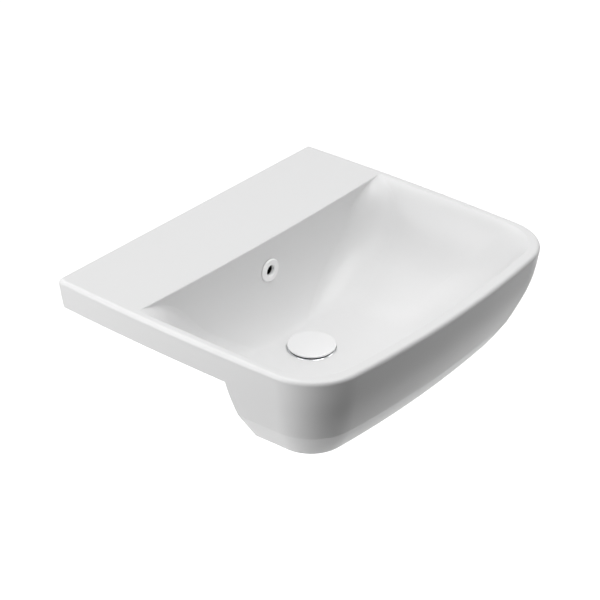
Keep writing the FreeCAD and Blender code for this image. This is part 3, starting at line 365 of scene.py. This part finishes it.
# Behind the lip, the neck gets painted shade in place of the plastic's white.
painted_shade_behind_lip = step_mask(tree, where.outputs["Y"], ring_front + LIP_DEPTH, LIP_BLUR, (-1100, -500))
painted_neck_shade = place_node(tree, "ShaderNodeMix", (-350, 300), data_type="RGBA")
tree.links.new(painted_shade_behind_lip, painted_neck_shade.inputs["Factor"])
tree.links.new(tone.outputs["Color"], painted_neck_shade.inputs[6])
painted_neck_shade.inputs[7].default_value = NECK_PAINTED_SHADE
tree.links.new(painted_neck_shade.outputs[2], shader.inputs["Base Color"])
print("the ring's front is at y =", round(ring_front, 4))

# %% [markdown]
# ## Turned metal
#
# Brass is cut on a lathe and mostly left as it is; the flange and the tube are chromed and
# polished, so the rings barely show there. One function takes the metal's colours and how
# deep the rings are.

# %% Metals
def turned_metal(name, main, other, roughness, rings, ring_depth):
    """A metal with lathe rings about the drain's axis."""
    material, tree, shader, _, bump = finish(name, main, other, roughness, tone_scale=70.0,
                                             slow=150.0, fine=1500.0, depth=0.00003, Metallic=1.0)
    marks = place_node(tree, "ShaderNodeGroup", (-700, -500), node_tree=turning_marks)
    marks.inputs["Rings per Metre"].default_value = rings
    ring_bump = place_node(tree, "ShaderNodeBump", (-200, -300), Distance=ring_depth, Strength=0.5)
    wire(tree, (marks, "Height"), (ring_bump, "Height"), (bump, "Normal"), (ring_bump, "Normal"),
         (ring_bump, "Normal"), (shader, "Normal"))
    return material


chrome = turned_metal("chrome", (0.62, 0.63, 0.645), (0.58, 0.59, 0.61), (0.06, 0.12),
                      rings=9000.0, ring_depth=0.000004)
brass = turned_metal("brass", (0.72, 0.52, 0.24), (0.60, 0.42, 0.20), (0.22, 0.38),
                     rings=14000.0, ring_depth=0.00002)
steel = turned_metal("steel", (0.55, 0.55, 0.56), (0.47, 0.47, 0.48), (0.22, 0.34),
                     rings=12000.0, ring_depth=0.00001)

# %% [markdown]
# ## Dress the pieces
#
# Each piece of the frame keeps its mesh and only gets a finish. The list follows the object
# from the casting down to the spring, so it doubles as a parts list.

# %% Give every piece its finish
FINISHES = {
    "basin_body": glaze, "overflow_ring": ring_plastic, "plug_cap": white_cap,
    "cap_carrier": chrome, "waste_body": chrome, "back_nut": brass, "cartridge_housing": brass,
    "guide_bush": brass, "plunger": brass, "plug_stud": brass, "lock_nut": steel,
    "cartridge_spring": steel, "latch_rotor": grey_acetal, "slip_washer": grey_acetal,
    "plug_seal": black_rubber, "flange_seal": black_rubber, "lower_seal": black_rubber,
}
for name, piece in frame["nodes"].items():
    piece.data.materials.clear()
    piece.data.materials.append(FINISHES[name])
print("finished", len(FINISHES), "pieces")

# %% [markdown]
# ## Threads
#
# The solids are plain where the real pieces are threaded. A thread is a ridge that climbs in a
# helix, so one function lays a small triangle at each step of the turn and joins each to the
# next. The ridge runs out to nothing at both ends, as a cut thread does, and rides on the body
# of the piece that it belongs to.

# %% Skin a row of rings
def skin_rings(bm, rings):
    """Join each ring of points to the next and close both ends."""
    bm.faces.new(rings[0][::-1])
    for before, after in zip(rings, rings[1:]):
        for here in range(len(after)):
            there = (here + 1) % len(after)
            bm.faces.new((before[here], after[here], after[there], before[there]))
    bm.faces.new(rings[-1])
    bmesh.ops.recalc_face_normals(bm, faces=bm.faces)


def make_piece(name, bm, material):
    """Turn the finished bmesh into a piece with its material."""
    mesh = bpy.data.meshes.new(name)
    bm.to_mesh(mesh)
    bm.free()
    mesh.materials.append(material)
    piece = bpy.data.objects.new(name, mesh)
    bpy.context.scene.collection.objects.link(piece)
    return piece

# %% [markdown]
# The ridge is a triangle in section. Its two roots sink a tenth of a millimetre into the plain
# solid, so that no gap or flicker shows where they meet it.

# %% A thread ridge
STEPS_PER_TURN = 48
ROOT_SINK = 0.0001
ROOT_REACH = 0.45
LEAST_RIDGE = 0.02
BODIES = frame["record"]["behaviour"]["bodies"]
BODY_OF = {node: body for body, nodes in BODIES.items() for node in nodes}


def thread(name, owner, centre, radius, low, high, pitch, height, metal):
    """A helical ridge about a vertical axis through centre, between two heights."""
    bm = bmesh.new()
    steps = round((high - low - pitch) / pitch * STEPS_PER_TURN)
    root = radius - ROOT_SINK
    rings = []
    for step in range(steps + 1):
        turn = 2 * math.pi * step / STEPS_PER_TURN
        level = low + pitch / 2 + pitch * step / STEPS_PER_TURN
        ease = min(1.0, step / STEPS_PER_TURN * 2, (steps - step) / STEPS_PER_TURN * 2)
        crest = root + (height + ROOT_SINK) * max(ease, LEAST_RIDGE)
        section = ((root, -ROOT_REACH * pitch), (crest, 0.0), (root, ROOT_REACH * pitch))
        rings.append([bm.verts.new((centre[0] + reach * math.cos(turn),
                                    centre[1] + reach * math.sin(turn), level + rise))
                      for reach, rise in section])
    skin_rings(bm, rings)
    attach(make_piece(name, bm, metal), BODY_OF[owner])
    print(name, "has", round(steps / STEPS_PER_TURN, 1), "turns")

# %% [markdown]
# Two pieces get one: the tail, where it shows from below and takes the trap's nut, and the stud
# between the plug and the rod, which stays inside the tube and shows only where it is cut open.

# %% Add the threads
DRAIN_AXIS = (0.0, -DRAIN_DISTANCE)
TAIL_RADIUS, TAIL_PITCH, TAIL_RIDGE = 0.02095, 0.0022, 0.0007
TAIL_FOOT_ROOM, NUT_ROOM = 0.0015, 0.0004
STUD_RADIUS, STUD_PITCH, STUD_RIDGE, STUD_ROOM = 0.00395, 0.00125, 0.0003, 0.0002
nut_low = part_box("back_nut")[0][2]
tail_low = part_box("waste_body")[0][2]
thread("tail_thread", "waste_body", DRAIN_AXIS, TAIL_RADIUS, tail_low + TAIL_FOOT_ROOM,
       nut_low - NUT_ROOM, TAIL_PITCH, TAIL_RIDGE, chrome)
rod_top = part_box("plunger")[1][2]
lock_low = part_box("lock_nut")[0][2]
thread("stud_thread", "plug_stud", DRAIN_AXIS, STUD_RADIUS, rod_top + STUD_ROOM,
       lock_low - STUD_ROOM, STUD_PITCH, STUD_RIDGE, brass)
print("stud is bare between", round(rod_top, 4), "and", round(lock_low, 4))

# %% [markdown]
# ## The spring
#
# A spring is the one piece of the waste that changes its length. The plain solid can't, and a
# round wire replaces it, wound from the solid's foot to its top at one fixed length.

# %% Wind the spring
COIL_RADIUS, WIRE_RADIUS, SPRING_TURNS = 0.0060, 0.0005, 7
STEPS_PER_COIL, WIRE_SIDES = 36, 8
spring_low, spring_high = (corner[2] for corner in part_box("cartridge_spring"))
bm = bmesh.new()
rings = []
for step in range(SPRING_TURNS * STEPS_PER_COIL + 1):
    turn = 2 * math.pi * step / STEPS_PER_COIL
    share = step / (SPRING_TURNS * STEPS_PER_COIL)
    level = spring_low + WIRE_RADIUS + share * (spring_high - spring_low - 2 * WIRE_RADIUS)
    ring = []
    for side in range(WIRE_SIDES):
        around = 2 * math.pi * side / WIRE_SIDES
        reach = COIL_RADIUS + WIRE_RADIUS * math.cos(around)
        ring.append(bm.verts.new((reach * math.cos(turn), reach * math.sin(turn) - DRAIN_DISTANCE,
                                  level + WIRE_RADIUS * math.sin(around))))
    rings.append(ring)
skin_rings(bm, rings)
for face in bm.faces:
    face.smooth = True
spring = make_piece("spring_wire", bm, steel)
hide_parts("cartridge_spring")
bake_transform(spring)
print("spring from", round(spring_low, 4), "to", round(spring_high, 4))

# %% [markdown]
# ## Floor, backdrop and lamps
#
# The basin is shown alone before white. It hangs at its working height, so the floor lies far
# below and its shadow falls clear of the picture. Seen by the camera, or in a reflection, the
# floor is white and keeps the shadow; for light that bounces it is grey, so that the underside
# of the apron stays as dark as it is in a room with a cabinet below.

# %% Floor and backdrop
FLOOR_LEVEL, FLOOR_REACH = -0.85, 6.0
floor_mesh = bpy.data.meshes.new("studio_floor")
bm = bmesh.new()
bmesh.ops.create_grid(bm, x_segments=2, y_segments=2, size=FLOOR_REACH)
bm.to_mesh(floor_mesh)
bm.free()
floor = bpy.data.objects.new("studio_floor", floor_mesh)
floor.location = (0.0, 0.0, FLOOR_LEVEL)
bpy.context.scene.collection.objects.link(floor)


def shown_directly(tree):
    """1 for rays from the camera, in reflections and through glass; 0 for light that bounces."""
    ray = place_node(tree, "ShaderNodeLightPath", (-900, 300))
    total = ray.outputs["Is Camera Ray"]
    for kind in ("Is Glossy Ray", "Is Transmission Ray"):
        either = place_node(tree, "ShaderNodeMath", (-600, 300), operation="MAXIMUM")
        tree.links.new(total, either.inputs[0])
        tree.links.new(ray.outputs[kind], either.inputs[1])
        total = either.outputs[0]
    return total


FLOOR_WHITE = 0.93
FLOOR_GLOW = 0.8
FLOOR_GREY = 0.13
floor_paint = bpy.data.materials.new("floor_paint")
floor_paint.use_nodes = True
tree = floor_paint.node_tree
tree.nodes.remove(tree.nodes["Principled BSDF"])
pale = place_node(tree, "ShaderNodeBsdfDiffuse", (-300, 0),
                  Color=(FLOOR_WHITE, FLOOR_WHITE, FLOOR_WHITE, 1))
glow = place_node(tree, "ShaderNodeEmission", (-300, -150), Color=(1, 1, 1, 1), Strength=FLOOR_GLOW)
bright = place_node(tree, "ShaderNodeAddShader", (-100, -50))
grey = place_node(tree, "ShaderNodeBsdfDiffuse", (-300, -300),
                  Color=(FLOOR_GREY, FLOOR_GREY, FLOOR_GREY, 1))
choose = place_node(tree, "ShaderNodeMixShader", (100, 0))
tree.links.new(shown_directly(tree), choose.inputs[0])
tree.links.new(pale.outputs[0], bright.inputs[0])
tree.links.new(glow.outputs[0], bright.inputs[1])
tree.links.new(grey.outputs[0], choose.inputs[1])
tree.links.new(bright.outputs[0], choose.inputs[2])
tree.links.new(choose.outputs[0], tree.nodes["Material Output"].inputs["Surface"])
floor_mesh.materials.append(floor_paint)
print("floor at", FLOOR_LEVEL)

# %% [markdown]
# The world only fills in. To the camera and in reflections it is plain white, like the floor.

# %% World
FILL_STRENGTH = 0.02
world = bpy.data.worlds.new("studio_world")
bpy.context.scene.world = world
world.use_nodes = True
tree = world.node_tree
room = tree.nodes["Background"]
room.inputs["Color"].default_value = (1, 1, 1, 1)
room.inputs["Strength"].default_value = FILL_STRENGTH
white = place_node(tree, "ShaderNodeBackground", (-300, -200), Color=(1, 1, 1, 1), Strength=1.0)
choose = place_node(tree, "ShaderNodeMixShader", (100, 0))
tree.links.new(shown_directly(tree), choose.inputs[0])
tree.links.new(room.outputs[0], choose.inputs[1])
tree.links.new(white.outputs[0], choose.inputs[2])
tree.links.new(choose.outputs[0], tree.nodes["World Output"].inputs["Surface"])
print("world fill", FILL_STRENGTH)

# %% [markdown]
# ## Lamps
#
# Five large soft boxes hang over the basin, one in the middle and four around it, and together
# make one wide light. The front one is the strongest, because it reaches the bowl's back wall.
# A sixth stands low at the left, where it lights the flank that faces it and leaves the front
# in shade, as in the picture.

# %% Lamps
LOOK_AT = Vector((0.0, -0.2, 0.0))
LAMPS = {
    "top_front_lamp": ((0.1, -1.5, 2.6), 1.8, 43.0),
    "top_left_lamp": ((-1.6, -0.4, 2.4), 1.8, 10.5),
    "top_right_lamp": ((1.7, -0.3, 2.2), 1.8, 10.0),
    "top_back_lamp": ((0.0, 1.2, 2.4), 1.8, 21.0),
    "top_lamp": ((0.0, -0.2, 2.6), 1.8, 9.5),
    "left_lamp": ((-2.4, 0.9, 0.1), 2.0, 59.0),
}
for name, (place, width, power) in LAMPS.items():
    lamp = bpy.data.lights.new(name, "AREA")
    lamp.size = width
    lamp.energy = power
    holder = bpy.data.objects.new(name, lamp)
    holder.location = place
    holder.rotation_euler = (LOOK_AT - Vector(place)).to_track_quat("-Z", "Y").to_euler()
    bpy.context.scene.collection.objects.link(holder)
print("lamps:", len(LAMPS), "with", sum(power for _, _, power in LAMPS.values()), "watts")

# %% [markdown]
# ## Camera
#
# The picture was taken from above the front left corner with a long lens, so the edges stay
# nearly parallel. Its place was worked out from the basin's own straight edges.

# %% Camera
CAMERA_PLACE = Vector((-1.8467, -1.7207, 1.3763))
LOOK_YAW = 0.69305
LOOK_DOWN = 0.52889
camera_data = bpy.data.cameras.new("camera")
camera_data.sensor_width = 36.0
camera_data.lens = 129.0
camera_data.clip_start = 0.05
camera = bpy.data.objects.new("camera", camera_data)
camera.location = CAMERA_PLACE
view_line = Vector((math.cos(LOOK_YAW) * math.cos(LOOK_DOWN),
                    math.sin(LOOK_YAW) * math.cos(LOOK_DOWN), -math.sin(LOOK_DOWN)))
camera.rotation_euler = view_line.to_track_quat("-Z", "Y").to_euler()
bpy.context.scene.collection.objects.link(camera)
bpy.context.scene.camera = camera
bpy.context.scene.view_settings.view_transform = "Standard"
print("camera at", tuple(camera.location))
